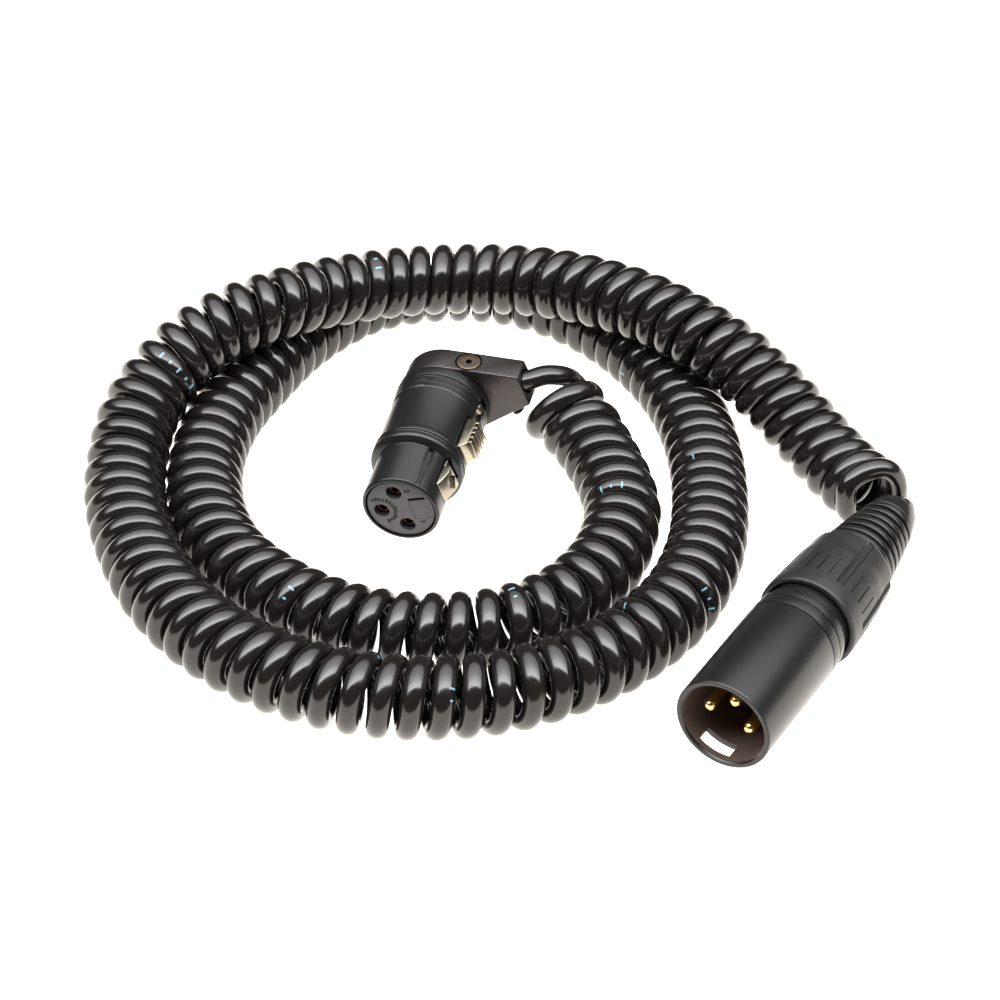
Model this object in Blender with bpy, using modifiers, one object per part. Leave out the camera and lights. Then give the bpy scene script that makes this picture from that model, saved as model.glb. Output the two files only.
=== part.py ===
"""Coiled microphone lead with a right-angle female XLR connector and a straight male one.

The lead lies on a table in a spiral of one and a half rounds.  +Z is up and the table is z = 0.
The origin is under the middle of the two connectors.  Lengths are in millimetres until MM turns
them into metres.

Each connector is modelled along its own axis and placed by an empty.  In a connector's own frame
X is right, Y is up and Z points out of the mating face, so a depth d from the face is z = -d.
"""
import math

import bmesh
import bpy
import numpy as np
from mathutils import Matrix, Vector

MM = 0.001
GAP = 0.3
NAME = "xlr_cable_coil"

# Placing of the connectors, from the middle of the coil.
SHIFT = (-26.75, 30.0)
FEMALE_PLACE, FEMALE_YAW, FEMALE_PITCH = (-19.5, -14.0, 8.05), 14.4, 6.3
MALE_PLACE, MALE_YAW, MALE_PITCH = (40.1, -81.0, 9.52), 30.4, 0.75

# Fineness of round pieces.
STEPS_SHELL, STEPS_INNER, STEPS_PIN = 48, 32, 12

# Cord.
CORD_R = 2.2
CURL_R = 7.2
CURL_Z = 7.65
CURL_STEP = 11.5

# Female connector: shell.
F_NOSE_R, F_NOSE_BORE, F_FLANGE_R, F_BODY_R, F_REAR_R = 7.85, 7.15, 9.45, 9.2, 9.6
F_NOSE_END, F_REAR = 11.3, 32.5
F_BODY_BORE, F_REAR_BORE = 8.2, 7.3
F_KEYWAY_ANGLE, F_KEYWAY_W, F_KEYWAY_DEPTH = 62.0, 1.3, 0.4

# Female connector: inside.
F_INSERT_R, F_INSERT_FACE, F_INSERT_REAR = 6.85, 0.3, 22.0
F_CIRCLE, F_HOLE_R, F_CONTACT_R, F_SOCKET_R = 4.1, 1.6, 1.25, 0.85
F_CONTACT_FACE, F_CONTACT_REAR = 1.5, 24.0
F_ANGLES = {"1": -72.0, "2": 108.0, "3": 198.0}
WIRE_R = 0.45

# Female connector: latch, in its own frame (rho outwards at LATCH_ANGLE, lam sideways).
LATCH_ANGLE = 18.0
LATCH_RHO, LATCH_THICK, LATCH_HALF = 7.2, 0.8, 2.3
LATCH_TIP, LATCH_PLATE_END = 4.0, 24.0
HINGE_RHO, HINGE_DEPTH = 8.1, 29.5
PIN_R, EYE_R, EYE_BORE, EYE_HALF = 0.45, 1.3, 0.75, 0.9

# Elbow block behind the female shell.
B_FRONT, B_BACK, B_R, B_TOP = 32.8, 38.6, 9.2, 9.2
B_END_TOP, B_END_LOW = (15.6, 9.2), (18.1, 2.6)
B_TANGENT = -51.2
B_RECESS_R, B_RECESS = 7.0, 3.8
B_MID = 35.7
B_EXIT, B_INSIDE = (16.7, 6.3), (5.0, 1.92)
B_BORE_R = 2.55
SCREW_X, SCREW_HEAD_R = 4.8, 2.45
CLAMP_AT, CLAMP_NORMAL, CLAMP_R = (14.5, -1.2), (0.622, -0.783), 1.3

# Male connector.
M_R, M_BORE, M_NECK_R, M_NECK_END = 9.5, 8.35, 8.6, 38.0
M_NECK_BORE = 7.2
M_INSERT_R, M_INSERT_FACE, M_INSERT_REAR = 8.05, 14.0, 26.0
M_CIRCLE, M_PIN_R, M_PIN_TIP, M_PIN_REAR = 4.2, 1.18, 2.0, 29.0
M_ANGLES = {"1": -14.0, "2": 166.0, "3": 76.0}
M_WINDOW_ANGLE, M_WINDOW_HALF, M_WINDOW = -106.5, 3.2, (1.6, 5.0)
CHUCK = (39.0, 46.5)
CHUCK_R, CHUCK_BORE = 6.5, 2.55
BUSH_FRONT, BUSH_END = 33.7, 53.0
FLUTES = 8
BOOT_FRONT, BOOT_END = 47.0, 73.0
BOOT_BORE = 2.55
BOOT_RIBS = ((55.9, 7.5), (58.4, 7.1), (60.7, 6.75), (62.8, 6.4), (65.1, 6.0), (67.5, 5.6))

# Middle line of the curl, from the female connector to the male one.
CURL_ROUTE = (
    (15.2, 16.8, CURL_Z), (18.6, 12.2, CURL_Z), (22.6, 0.4, CURL_Z), (23.9, -15.4, CURL_Z),
    (20.3, -30.5, CURL_Z), (12.2, -41.5, CURL_Z), (2.5, -47.3, CURL_Z), (-6.6, -49.4, CURL_Z),
    (-16.1, -49.7, CURL_Z), (-25.6, -48.0, CURL_Z), (-34.9, -44.0, CURL_Z),
    (-43.8, -37.4, CURL_Z), (-51.5, -27.6, CURL_Z), (-56.3, -14.1, CURL_Z),
    (-57.5, 2.2, CURL_Z), (-54.8, 18.1, CURL_Z), (-49.4, 32.8, CURL_Z), (-43.0, 45.2, CURL_Z),
    (-36.0, 54.4, CURL_Z), (-28.2, 61.3, CURL_Z), (-19.1, 65.0, CURL_Z), (-9.8, 66.2, CURL_Z),
    (-0.5, 65.2, CURL_Z), (8.5, 61.6, CURL_Z), (17.1, 55.4, CURL_Z), (25.0, 46.8, CURL_Z),
    (31.6, 36.4, CURL_Z), (36.9, 24.2, CURL_Z), (40.2, 10.0, CURL_Z), (41.3, -7.2, CURL_Z),
    (39.5, -27.1, CURL_Z), (33.5, -43.8, CURL_Z), (23.9, -56.0, CURL_Z),
    (13.3, -64.0, CURL_Z), (2.3, -69.0, CURL_Z), (-9.0, -71.2, CURL_Z),
    (-20.5, -71.0, CURL_Z), (-31.9, -68.3, CURL_Z), (-43.2, -62.8, CURL_Z),
    (-54.0, -54.0, CURL_Z), (-63.7, -41.0, CURL_Z), (-71.0, -23.6, 7.9),
    (-74.0, -9.0, 8.9), (-73.8, 1.0, 11.2),
    (-72.4, 8.4, 13.4), (-69.4, 15.4, 16.0), (-65.0, 21.2, 19.1), (-59.2, 26.6, 21.7),
    (-52.6, 31.0, 23.1), (-46.0, 35.4, 23.1), (-39.4, 40.6, 22.0), (-31.3, 46.2, 20.2),
    (-20.5, 51.0, 18.8), (-8.5, 52.8, 18.4), (3.5, 51.1, 19.2), (14.0, 45.9, 21.1),
    (22.6, 39.9, 22.6), (30.0, 34.4, 23.2), (36.6, 28.5, 23.2), (42.5, 23.3, 22.2),
    (47.8, 19.6, 20.2), (52.4, 15.9, 17.6), (56.7, 12.0, 14.9), (60.6, 7.8, 12.2),
    (64.3, 3.6, 10.0), (67.2, -0.3, 8.7), (69.8, -4.0, 8.1), (72.6, -8.2, 8.0),
)

# Straight tails: a first point inside the connector, then these, ending just off the curl.
FEMALE_TAIL = ((8.9, 14.9, 18.8), (12.0, 15.4, 19.2), (14.8, 17.2, 17.9), (16.4, 20.6, 15.2),
               (16.4, 23.2, 12.0), (14.8, 24.2, 9.8), (12.9, 22.8, 8.5), (12.9, 20.2, 7.9),
               (14.8, 17.3, 7.7))
MALE_TAIL = ((78.6, -15.4, 10.4), (79.6, -12.6, 10.0), (79.1, -9.4, 9.1), (77.1, -6.0, 8.2))

BLACK_METAL = ((0.018, 0.018, 0.019), 0.38, 0.7)
COLOURS = {
    "shell": BLACK_METAL,
    "block": ((0.03, 0.028, 0.027), 0.35, 0.8),
    "insert": ((0.028, 0.028, 0.03), 0.5, 0.0),
    "latch": ((0.72, 0.66, 0.52), 0.28, 1.0),
    "contact": ((0.85, 0.6, 0.25), 0.25, 1.0),
    "screw": ((0.42, 0.34, 0.26), 0.35, 1.0),
    "bushing": ((0.02, 0.02, 0.022), 0.42, 0.0),
    "boot": ((0.02, 0.02, 0.021), 0.55, 0.0),
    "cord": ((0.014, 0.012, 0.011), 0.16, 0.0),
    "wire_red": ((0.5, 0.03, 0.02), 0.4, 0.0),
    "wire_white": ((0.75, 0.75, 0.72), 0.4, 0.0),
    "wire_bare": ((0.6, 0.42, 0.3), 0.4, 1.0),
}


# ---------------------------------------------------------------- scene, materials and frames

def clear_scene():
    for obj in list(bpy.data.objects):
        bpy.data.objects.remove(obj, do_unlink=True)


def new_collection(name):
    group = bpy.data.collections.new(name)
    bpy.context.scene.collection.children.link(group)
    return group


def paint(obj, look):
    """Give an object its own material in one of the named looks."""
    colour, roughness, metallic = COLOURS[look]
    mat = bpy.data.materials.new(obj.name)
    mat.use_nodes = True
    shader = mat.node_tree.nodes["Principled BSDF"]
    shader.inputs["Base Color"].default_value = (*colour, 1.0)
    shader.inputs["Roughness"].default_value = roughness
    shader.inputs["Metallic"].default_value = metallic
    obj.data.materials.clear()
    obj.data.materials.append(mat)


def connector_frame(name, place, yaw, pitch):
    """Empty at the middle of a mating face, with Z out of the face and Y up."""
    empty = bpy.data.objects.new(name, None)
    empty.location = ((place[0] + SHIFT[0]) * MM, (place[1] + SHIFT[1]) * MM, place[2] * MM)
    empty.rotation_euler = (math.radians(90.0 + pitch), 0.0, math.radians(-yaw))
    PARTS.objects.link(empty)
    return empty


def latch_frame(parent):
    """Empty on the latch's side: X is rho (outwards), Y is lam (sideways), Z out of the face."""
    empty = bpy.data.objects.new("latch_frame", None)
    empty.parent = parent
    empty.rotation_euler = (0.0, 0.0, math.radians(LATCH_ANGLE))
    PARTS.objects.link(empty)
    return empty


# ---------------------------------------------------------------- shape makers

def add_object(name, data, parent=None):
    obj = bpy.data.objects.new(name, data)
    PARTS.objects.link(obj)
    obj.parent = parent
    return obj


def make_cutter(obj):
    """Mark an object as a cutting tool."""
    PARTS.objects.unlink(obj)
    CUTTERS.objects.link(obj)
    obj.hide_render = True
    obj.display_type = "WIRE"
    return obj


def turned(name, profile, parent, steps=STEPS_SHELL, closed=True):
    """Turn a profile of (radius, depth) points, running down the outer side, about the axis."""
    mesh = bpy.data.meshes.new(name)
    points = [(r * MM, 0.0, -depth * MM) for r, depth in profile]
    edges = [(i, i + 1) for i in range(len(points) - 1)]
    if closed:
        edges.append((len(points) - 1, 0))
    mesh.from_pydata(points, edges, [])
    obj = add_object(name, mesh, parent)
    screw = obj.modifiers.new("turn", "SCREW")
    screw.axis = "Z"
    screw.steps = screw.render_steps = steps
    screw.use_merge_vertices = True
    screw.merge_threshold = 0.00001
    return obj


def solid_rod(name, radius, top, bottom, parent, steps=STEPS_PIN, at=(0.0, 0.0)):
    """Plain round rod along the connector's axis between two depths."""
    mesh = bpy.data.meshes.new(name)
    shape = bmesh.new()
    bmesh.ops.create_cone(shape, cap_ends=True, segments=steps, radius1=radius * MM,
                          radius2=radius * MM, depth=(bottom - top) * MM)
    shape.to_mesh(mesh)
    shape.free()
    obj = add_object(name, mesh, parent)
    obj.location = (at[0] * MM, at[1] * MM, -0.5 * (top + bottom) * MM)
    return obj


def rod_between(name, radius, start, end, parent, steps=STEPS_INNER):
    """Round rod between two points given as (x, y, depth)."""
    a = Vector((start[0], start[1], -start[2])) * MM
    b = Vector((end[0], end[1], -end[2])) * MM
    mesh = bpy.data.meshes.new(name)
    shape = bmesh.new()
    bmesh.ops.create_cone(shape, cap_ends=True, segments=steps, radius1=radius * MM,
                          radius2=radius * MM, depth=(b - a).length)
    shape.to_mesh(mesh)
    shape.free()
    obj = add_object(name, mesh, parent)
    obj.location = (a + b) / 2
    obj.rotation_euler = (b - a).to_track_quat("Z", "Y").to_euler()
    return obj


def box(name, low, high, parent):
    """Box between two corners given as (x, y, depth)."""
    size = [(h - l) * MM for l, h in zip(low, high)]
    mid = [(h + l) / 2 * MM for l, h in zip(low, high)]
    mesh = bpy.data.meshes.new(name)
    shape = bmesh.new()
    bmesh.ops.create_cube(shape, size=1.0)
    bmesh.ops.scale(shape, vec=size, verts=shape.verts)
    shape.to_mesh(mesh)
    shape.free()
    obj = add_object(name, mesh, parent)
    obj.location = (mid[0], mid[1], -mid[2])
    return obj


def curve_to_mesh(obj, keep_parent):
    """Turn a curve object into a closed mesh object of the same name."""
    bpy.context.view_layer.update()
    evaluated = obj.evaluated_get(bpy.context.evaluated_depsgraph_get())
    mesh = bpy.data.meshes.new_from_object(evaluated)
    shape = bmesh.new()
    shape.from_mesh(mesh)
    bmesh.ops.remove_doubles(shape, verts=shape.verts, dist=0.000002)
    bmesh.ops.recalc_face_normals(shape, faces=shape.faces)
    shape.to_mesh(mesh)
    shape.free()
    name, place, local = obj.name, obj.matrix_world.copy(), obj.matrix_basis.copy()
    bpy.data.objects.remove(obj, do_unlink=True)
    made = add_object(name, mesh, keep_parent)
    if keep_parent:
        made.matrix_basis = local
    else:
        made.matrix_world = place
    return made


def plate(name, outline, thickness, parent, matrix):
    """Flat outline thickened evenly about its own plane, then set by a local matrix."""
    data = bpy.data.curves.new(name, "CURVE")
    data.dimensions = "2D"
    data.fill_mode = "BOTH"
    data.extrude = thickness * MM / 2
    spline = data.splines.new("POLY")
    spline.points.add(len(outline) - 1)
    for point, (x, y) in zip(spline.points, outline):
        point.co = (x * MM, y * MM, 0.0, 1.0)
    spline.use_cyclic_u = True
    obj = add_object(name, data, parent)
    obj.matrix_basis = matrix
    return curve_to_mesh(obj, parent)


def tube(name, points, radius, resolution, parent=None):
    """Tube of one radius along the given points (metres)."""
    data = bpy.data.curves.new(name, "CURVE")
    data.dimensions = "3D"
    data.bevel_depth = radius * MM
    data.bevel_resolution = resolution
    data.use_fill_caps = True
    data.twist_mode = "MINIMUM"
    spline = data.splines.new("POLY")
    spline.points.add(len(points) - 1)
    for point, co in zip(spline.points, points):
        point.co = (*co, 1.0)
    return add_object(name, data, parent)


def combine(obj, tool, operation="DIFFERENCE"):
    mod = obj.modifiers.new(tool.name, "BOOLEAN")
    mod.operation = operation
    mod.solver = "EXACT"
    mod.object = make_cutter(tool)
    return obj


def round_edges(obj, width, segments=2, angle=40.0):
    mod = obj.modifiers.new("round", "BEVEL")
    mod.width = width * MM
    mod.segments = segments
    mod.limit_method = "ANGLE"
    mod.angle_limit = math.radians(angle)
    return obj


def smooth_curve(route, step):
    """Points about one step apart on a smooth curve through the route."""
    pts = np.array(route, float)
    knots = np.sqrt(np.linalg.norm(np.diff(pts, axis=0), axis=1))
    slopes = np.diff(pts, axis=0) / knots[:, None]
    tangents = np.empty_like(pts)
    tangents[0], tangents[-1] = slopes[0], slopes[-1]
    before, after = knots[:-1, None], knots[1:, None]
    tangents[1:-1] = (slopes[:-1] * after + slopes[1:] * before) / (before + after)
    fine = [pts[:1]]
    for i, h in enumerate(knots):
        x = np.linspace(0.0, 1.0, 17)[1:, None]
        fine.append((2 * x**3 - 3 * x**2 + 1) * pts[i] + (x**3 - 2 * x**2 + x) * h * tangents[i]
                    + (3 * x**2 - 2 * x**3) * pts[i + 1] + (x**3 - x**2) * h * tangents[i + 1])
    fine = np.vstack(fine)
    run = np.concatenate(([0.0], np.cumsum(np.linalg.norm(np.diff(fine, axis=0), axis=1))))
    count = max(2, round(run[-1] / step) + 1)
    wanted = np.linspace(0.0, run[-1], count)
    return np.stack([np.interp(wanted, run, fine[:, k]) for k in range(3)], axis=1)


def on_circle(radius, degrees):
    return radius * math.cos(math.radians(degrees)), radius * math.sin(math.radians(degrees))


# ---------------------------------------------------------------- female connector

def female_shell(frame, latch):
    outer = [(F_NOSE_R - 0.4, 0.0), (F_NOSE_R, 0.4), (F_NOSE_R, 11.0), (8.6, F_NOSE_END),
             (9.3, 11.8), (F_FLANGE_R, 12.4), (9.3, 12.9), (9.1, 13.1), (9.1, 13.5),
             (F_FLANGE_R, 13.7), (F_FLANGE_R, 14.6), (F_BODY_R, 14.9), (F_BODY_R, 26.6),
             (9.4, 27.0), (9.4, 28.0), (9.1, 28.1), (9.1, 28.4), (9.5, 28.5), (9.5, 29.6),
             (9.2, 29.7), (9.2, 30.0), (F_REAR_R, 30.1), (F_REAR_R, F_REAR)]
    inner = [(F_REAR_BORE, F_REAR), (F_REAR_BORE, 25.3), (F_BODY_BORE, 24.4),
             (F_BODY_BORE, 13.9), (F_NOSE_BORE, 12.9), (F_NOSE_BORE, 0.0)]
    shell = turned("female_shell", outer + inner, frame)
    slots = (("cut_latch_nose", (6.0, -2.6, 3.6), (10.0, 2.6, 11.2)),
             ("cut_latch_tunnel", (6.0, -2.6, 11.0), (8.45, 2.6, 15.2)),
             ("cut_latch_pad", (6.0, -2.9, 14.8), (12.0, 2.9, 24.2)),
             ("cut_latch_tongue", (6.0, -1.3, 24.0), (12.0, 1.3, 31.4)))
    for name, low, high in slots:
        combine(shell, box(name, low, high, latch))
    combine(shell, rod_between("cut_latch_pin", EYE_BORE, (HINGE_RHO, -3.1, HINGE_DEPTH),
                               (HINGE_RHO, 3.1, HINGE_DEPTH), latch, STEPS_PIN))
    keyway = box("cut_keyway", (F_NOSE_R - F_KEYWAY_DEPTH, -F_KEYWAY_W / 2, 1.0),
                 (F_NOSE_R + 1.0, F_KEYWAY_W / 2, 10.9), frame)
    spin = Matrix.Rotation(math.radians(F_KEYWAY_ANGLE), 4, "Z")
    keyway.matrix_basis = spin @ keyway.matrix_basis
    combine(shell, keyway)
    paint(shell, "shell")


def female_insert(frame, latch):
    profile = [(0.0, F_INSERT_FACE), (F_INSERT_R, F_INSERT_FACE), (F_INSERT_R, F_INSERT_REAR),
               (0.0, F_INSERT_REAR)]
    insert = turned("female_insert", profile, frame, STEPS_SHELL, closed=False)
    for number, angle in F_ANGLES.items():
        combine(insert, solid_rod("cut_contact_" + number, F_HOLE_R, -1.0, F_INSERT_REAR + 1.0,
                                  frame, 16, on_circle(F_CIRCLE, angle)))
    combine(insert, box("cut_latch_flat", (5.3, -2.75, 2.0), (8.0, 2.75, 23.0), latch))
    combine(insert, box("cut_face_slot", (2.3, 1.75, -1.0), (5.9, 2.25, 2.2), latch))
    paint(insert, "insert")


def female_contacts(frame):
    for number, angle in F_ANGLES.items():
        at = on_circle(F_CIRCLE, angle)
        contact = solid_rod("female_contact_" + number, F_CONTACT_R, F_CONTACT_FACE,
                            F_CONTACT_REAR, frame, 16, at)
        combine(contact, solid_rod("cut_socket_" + number, F_SOCKET_R, 0.5, 11.0, frame, 16, at))
        combine(contact, solid_rod("cut_cup_" + number, F_SOCKET_R, 21.0, 25.0, frame, 16, at))
        paint(contact, "contact")


def female_wires(frame):
    """Three cores from the solder cups to the end of the cord in the elbow."""
    looks = {"1": "wire_bare", "2": "wire_red", "3": "wire_white"}
    ends = {"1": (9.1, 1.9, 35.8), "2": (8.5, 2.9, 34.8), "3": (8.5, 2.9, 36.8)}
    ways = {"1": (4.4, -0.9, 34.6), "2": (3.4, 3.2, 33.9), "3": (1.5, 1.2, 35.2)}
    for number, angle in F_ANGLES.items():
        x, y = on_circle(F_CIRCLE, angle)
        route = [(x, y, 21.6), (x, y, 24.5), (x * 0.85, y * 0.85, 29.5), ways[number],
                 ends[number]]
        points = [Vector((px, py, -depth)) * MM for px, py, depth in smooth_curve(route, 1.6)]
        wire = tube("female_wire_" + number, points, WIRE_R, 1, frame)
        paint(wire, looks[number])


def latch_lever(latch):
    """Sprung lever: plate with a hook, thumb pad with grip ribs, and an eye on the hinge pin."""
    pivot = bpy.data.objects.new("latch_pivot", None)
    pivot.parent = latch
    pivot.location = (HINGE_RHO * MM, 0.0, -HINGE_DEPTH * MM)
    PARTS.objects.link(pivot)
    plate_top = LATCH_RHO + LATCH_THICK
    outline = [(LATCH_TIP, LATCH_RHO), (LATCH_PLATE_END, LATCH_RHO),
               (LATCH_PLATE_END, plate_top + 0.6), (23.0, plate_top + 1.6)]
    for rib in range(5):
        start = 22.6 - 1.4 * rib
        crest = 11.3 - 0.12 * rib
        outline += [(start, crest), (start - 0.5, crest + 0.45), (start - 0.9, crest)]
    outline += [(15.9, 10.9), (15.3, 9.6), (15.1, plate_top), (9.3, plate_top), (9.3, 9.2),
                (7.6, 9.2), (6.2, 8.5), (LATCH_TIP, plate_top - 0.3)]
    outline = [(HINGE_DEPTH - depth, rho - HINGE_RHO) for depth, rho in outline]
    side_on = Matrix(((0, 1, 0, 0), (0, 0, 1, 0), (1, 0, 0, 0), (0, 0, 0, 1)))
    lever = plate("latch_lever", outline, 2 * LATCH_HALF, pivot, side_on)
    tongue = box("join_tongue", (-0.9, -EYE_HALF, -6.2), (0.7, EYE_HALF, 0.0), pivot)
    eye = rod_between("join_eye", EYE_R, (0.0, -EYE_HALF, 0.0), (0.0, EYE_HALF, 0.0), pivot, 16)
    bore = rod_between("cut_eye", EYE_BORE, (0.0, -2.0, 0.0), (0.0, 2.0, 0.0), pivot, 12)
    combine(lever, tongue, "UNION")
    combine(lever, eye, "UNION")
    combine(lever, bore)
    paint(lever, "latch")


def latch_hardware(latch):
    pin = rod_between("latch_pin", PIN_R, (HINGE_RHO, -2.8, HINGE_DEPTH),
                      (HINGE_RHO, 2.8, HINGE_DEPTH), latch, STEPS_PIN)
    paint(pin, "latch")
    strip = [(14.0, 5.6), (19.5, 5.6), (26.4, 6.35), (26.2, 6.65), (19.4, 5.9), (14.0, 5.9)]
    outline = [(-depth, rho) for depth, rho in strip]
    side_on = Matrix(((0, 1, 0, 0), (0, 0, 1, 0), (1, 0, 0, 0), (0, 0, 0, 1)))
    spring = plate("latch_spring", outline, 2.0, latch, side_on)
    paint(spring, "latch")


def elbow_block(frame):
    """Plate that closes the rear of the shell and turns the cord out sideways."""
    arc = [on_circle(B_R, angle) for angle in np.linspace(90.0, 360.0 + B_TANGENT, 23)]
    outline = arc + [B_END_LOW, B_END_TOP]
    block = plate("elbow_block", outline, B_BACK - B_FRONT, frame,
                  Matrix.Translation((0.0, 0.0, -B_MID * MM)))
    round_edges(block, 0.35)
    combine(block, solid_rod("cut_recess", B_RECESS_R, B_FRONT - 1.0, B_FRONT + B_RECESS, frame,
                             STEPS_INNER))
    out = Vector((B_EXIT[0] - B_INSIDE[0], B_EXIT[1] - B_INSIDE[1])).normalized()
    past = (B_EXIT[0] + 3.0 * out[0], B_EXIT[1] + 3.0 * out[1])
    combine(block, rod_between("cut_cord", B_BORE_R, (*B_INSIDE, B_MID), (*past, B_MID), frame,
                               24))
    combine(block, rod_between("cut_screw_head", SCREW_HEAD_R + GAP, (SCREW_X, B_TOP - 1.2, B_MID),
                               (SCREW_X, B_TOP + 1.0, B_MID), frame, 24))
    combine(block, rod_between("cut_screw_shank", 1.5, (SCREW_X, 4.0, B_MID),
                               (SCREW_X, B_TOP, B_MID), frame, 16))
    n = CLAMP_NORMAL
    deep = (CLAMP_AT[0] - 3.4 * n[0], CLAMP_AT[1] - 3.4 * n[1], B_MID)
    over = (CLAMP_AT[0] + 1.0 * n[0], CLAMP_AT[1] + 1.0 * n[1], B_MID)
    combine(block, rod_between("cut_clamp", 1.0, deep, over, frame, 16))
    paint(block, "block")


def elbow_screw(frame):
    head = rod_between("elbow_screw", SCREW_HEAD_R, (SCREW_X, B_TOP - 0.9, B_MID),
                       (SCREW_X, B_TOP + 0.1, B_MID), frame, 24)
    shank = rod_between("join_shank", 1.2, (SCREW_X, 4.4, B_MID), (SCREW_X, B_TOP - 0.5, B_MID),
                        frame, 16)
    socket = rod_between("cut_hex", 0.75, (SCREW_X, B_TOP - 0.9, B_MID),
                         (SCREW_X, B_TOP + 1.0, B_MID), frame, 6)
    combine(head, shank, "UNION")
    combine(head, socket)
    paint(head, "screw")


def clamp_screw(frame):
    n = CLAMP_NORMAL
    foot = (CLAMP_AT[0] + 0.3 * n[0], CLAMP_AT[1] + 0.3 * n[1], B_MID)
    top = (CLAMP_AT[0] + 0.95 * n[0], CLAMP_AT[1] + 0.95 * n[1], B_MID)
    tip = (CLAMP_AT[0] - 3.0 * n[0], CLAMP_AT[1] - 3.0 * n[1], B_MID)
    mid = (CLAMP_AT[0] + 0.6 * n[0], CLAMP_AT[1] + 0.6 * n[1], B_MID)
    head = rod_between("clamp_screw", CLAMP_R, foot, top, frame, 20)
    combine(head, rod_between("join_clamp_shank", 0.7, tip, mid, frame, 12), "UNION")
    paint(head, "shell")


# ---------------------------------------------------------------- male connector

def male_shell(frame):
    outer = [(M_R - 0.35, 0.0), (M_R, 0.3), (M_R, 26.2), (M_R - 0.2, 26.3), (M_R - 0.2, 26.5),
             (9.35, 26.7), (9.35, 29.0), (9.15, 29.1), (9.15, 29.3), (9.2, 29.5), (9.2, 31.2),
             (M_NECK_R, 31.5), (M_NECK_R, M_NECK_END)]
    inner = [(M_NECK_BORE, M_NECK_END), (M_NECK_BORE, 26.6), (M_BORE, 26.6), (M_BORE, 0.35),
             (M_BORE + 0.25, 0.0)]
    shell = turned("male_shell", outer + inner, frame)
    window = box("cut_window", (M_BORE - 1.5, -M_WINDOW_HALF, M_WINDOW[0]),
                 (M_R + 1.5, M_WINDOW_HALF, M_WINDOW[1]), frame)
    window.matrix_basis = Matrix.Rotation(math.radians(M_WINDOW_ANGLE), 4, "Z") @ window.matrix_basis
    combine(shell, window)
    paint(shell, "shell")


def male_insert(frame):
    profile = [(0.0, M_INSERT_FACE), (M_INSERT_R - 0.2, M_INSERT_FACE),
               (M_INSERT_R, M_INSERT_FACE + 0.2), (M_INSERT_R, M_INSERT_REAR),
               (0.0, M_INSERT_REAR)]
    insert = turned("male_insert", profile, frame, STEPS_SHELL, closed=False)
    for number, angle in M_ANGLES.items():
        combine(insert, solid_rod("cut_pin_" + number, M_PIN_R + GAP, M_INSERT_FACE - 1.0,
                                  M_INSERT_REAR + 1.0, frame, 16,
                                  on_circle(M_CIRCLE, angle)))
    paint(insert, "insert")


def male_pins(frame):
    tip = [(M_PIN_R * math.sin(a), M_PIN_TIP + M_PIN_R * (1 - math.cos(a)))
           for a in np.radians((0.0, 30.0, 60.0, 90.0))]
    for number, angle in M_ANGLES.items():
        pin = turned("male_pin_" + number, tip + [(M_PIN_R, M_PIN_REAR), (0.0, M_PIN_REAR)],
                     frame, 16, closed=False)
        x, y = on_circle(M_CIRCLE, angle)
        pin.location = (x * MM, y * MM, 0.0)
        combine(pin, solid_rod("cut_pin_cup_" + number, 0.8, M_PIN_REAR - 3.0, M_PIN_REAR + 1.0,
                               frame, 12, (x, y)))
        paint(pin, "contact")


def male_wires(frame):
    """Three cores from the solder cups to the end of the cord in the chuck."""
    looks = {"1": "wire_bare", "2": "wire_red", "3": "wire_white"}
    for number, angle in M_ANGLES.items():
        x, y = on_circle(M_CIRCLE, angle)
        nx, ny = on_circle(1.2, angle)
        route = [(x, y, 26.6), (x, y, 29.8), (0.5 * (x + nx), 0.5 * (y + ny), 34.5),
                 (nx, ny, 38.5), (nx, ny, 40.6)]
        points = [Vector((px, py, -depth)) * MM for px, py, depth in smooth_curve(route, 1.8)]
        wire = tube("male_wire_" + number, points, WIRE_R, 1, frame)
        paint(wire, looks[number])


def male_chuck(frame):
    """Split ring that the bushing squeezes on the cord."""
    front, end = CHUCK
    profile = [(CHUCK_R - 0.9, front), (CHUCK_R, front + 1.2), (CHUCK_R, end), (CHUCK_BORE, end),
               (CHUCK_BORE, front)]
    chuck = turned("male_chuck", profile, frame, STEPS_INNER)
    slits = 3
    for index in range(slits):
        slit = box("cut_slit_%d" % index, (CHUCK_BORE - 1.0, -0.4, front + 2.5),
                   (CHUCK_R + 1.0, 0.4, end + 1.0), frame)
        spin = Matrix.Rotation(math.radians(30.0 + 360.0 / slits * index), 4, "Z")
        slit.matrix_basis = spin @ slit.matrix_basis
        combine(chuck, slit)
    paint(chuck, "insert")


def male_bushing(frame):
    outer = [(9.6, BUSH_FRONT), (9.95, 34.1), (9.95, 36.0), (9.35, 46.5), (8.8, 52.2),
             (8.3, BUSH_END)]
    inner = [(CHUCK_R + GAP, BUSH_END), (CHUCK_R + GAP, M_NECK_END + GAP),
             (M_NECK_R + GAP, M_NECK_END + GAP), (M_NECK_R + GAP, BUSH_FRONT)]
    bushing = turned("male_bushing", outer + inner, frame, STEPS_SHELL)
    for index in range(FLUTES):
        flute = rod_between("cut_flute_%d" % index, 2.6, (11.6, 0.0, 41.5), (10.9, 0.0, 54.5),
                            frame, 16)
        spin = Matrix.Rotation(math.radians(360.0 / FLUTES * (index + 0.5)), 4, "Z")
        flute.matrix_basis = spin @ flute.matrix_basis
        combine(bushing, flute)
    paint(bushing, "bushing")


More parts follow.
